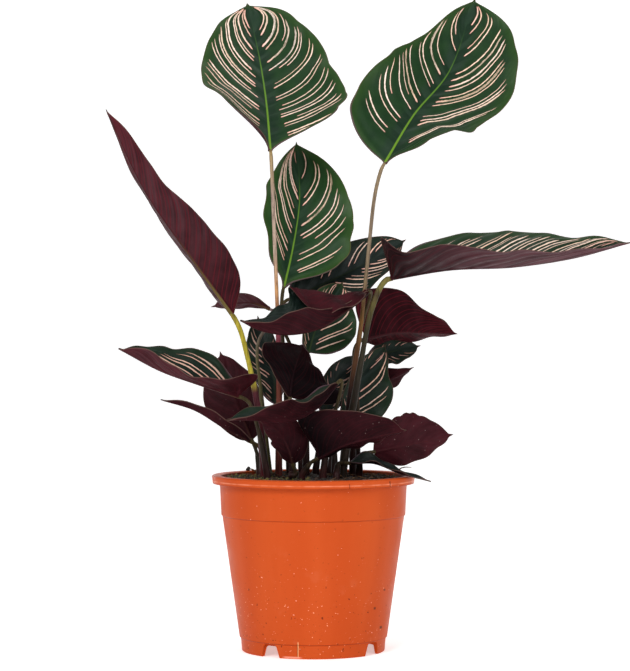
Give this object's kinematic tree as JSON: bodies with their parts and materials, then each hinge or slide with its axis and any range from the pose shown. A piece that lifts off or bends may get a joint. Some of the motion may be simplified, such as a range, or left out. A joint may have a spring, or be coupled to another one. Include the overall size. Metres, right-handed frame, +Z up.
{
  "type": "potted pinstripe calathea",
  "caption": "Pinstripe calathea: dark green striped leaves with burgundy undersides on slim stalks, rooted in soil in a round orange plastic nursery pot with a lipped rim and notched foot.",
  "frame": {"origin": "middle of the whole plant's spread on the floor; the pot's axis stands 42.3 mm to -X and 4.5 mm to -Y of it", "axes": "+Z up along the pot's axis and the plant's height, -Y towards the viewer, +X to the viewer's right"},
  "size_m": [0.4298, 0.2006, 0.554],
  "materials": {
    "pot_plastic": "satin orange, injection moulded",
    "compost": "rough, dark, fibrous",
    "leaf_blade": "satin, dark green with pale stripes above, burgundy below",
    "leaf_stalk": "satin, olive to burgundy brown"
  },
  "bodies": {
    "root": {"pot": "pot_plastic", "soil": "compost", "blade_01": "leaf_blade", "blade_02": "leaf_blade", "blade_03": "leaf_blade", "blade_04": "leaf_blade", "blade_05": "leaf_blade", "blade_06": "leaf_blade", "blade_07": "leaf_blade", "blade_08": "leaf_blade", "blade_09": "leaf_blade", "blade_10": "leaf_blade", "blade_11": "leaf_blade", "blade_12": "leaf_blade", "blade_13": "leaf_blade", "blade_14": "leaf_blade", "blade_15": "leaf_blade", "blade_16": "leaf_blade", "blade_17": "leaf_blade", "blade_18": "leaf_blade", "blade_19": "leaf_blade", "blade_20": "leaf_blade", "blade_21": "leaf_blade", "blade_22": "leaf_blade", "blade_23": "leaf_blade", "blade_24": "leaf_blade", "stalk_01": "leaf_stalk", "stalk_02": "leaf_stalk", "stalk_03": "leaf_stalk", "stalk_04": "leaf_stalk", "stalk_05": "leaf_stalk", "stalk_06": "leaf_stalk", "stalk_07": "leaf_stalk", "stalk_08": "leaf_stalk", "stalk_09": "leaf_stalk", "stalk_10": "leaf_stalk", "stalk_11": "leaf_stalk", "stalk_12": "leaf_stalk", "stalk_13": "leaf_stalk", "stalk_14": "leaf_stalk", "stalk_15": "leaf_stalk", "stalk_16": "leaf_stalk", "stalk_17": "leaf_stalk", "stalk_18": "leaf_stalk", "stalk_19": "leaf_stalk", "stalk_20": "leaf_stalk", "stalk_21": "leaf_stalk", "stalk_22": "leaf_stalk", "stalk_23": "leaf_stalk", "stalk_24": "leaf_stalk"}
  },
  "joints": []
}
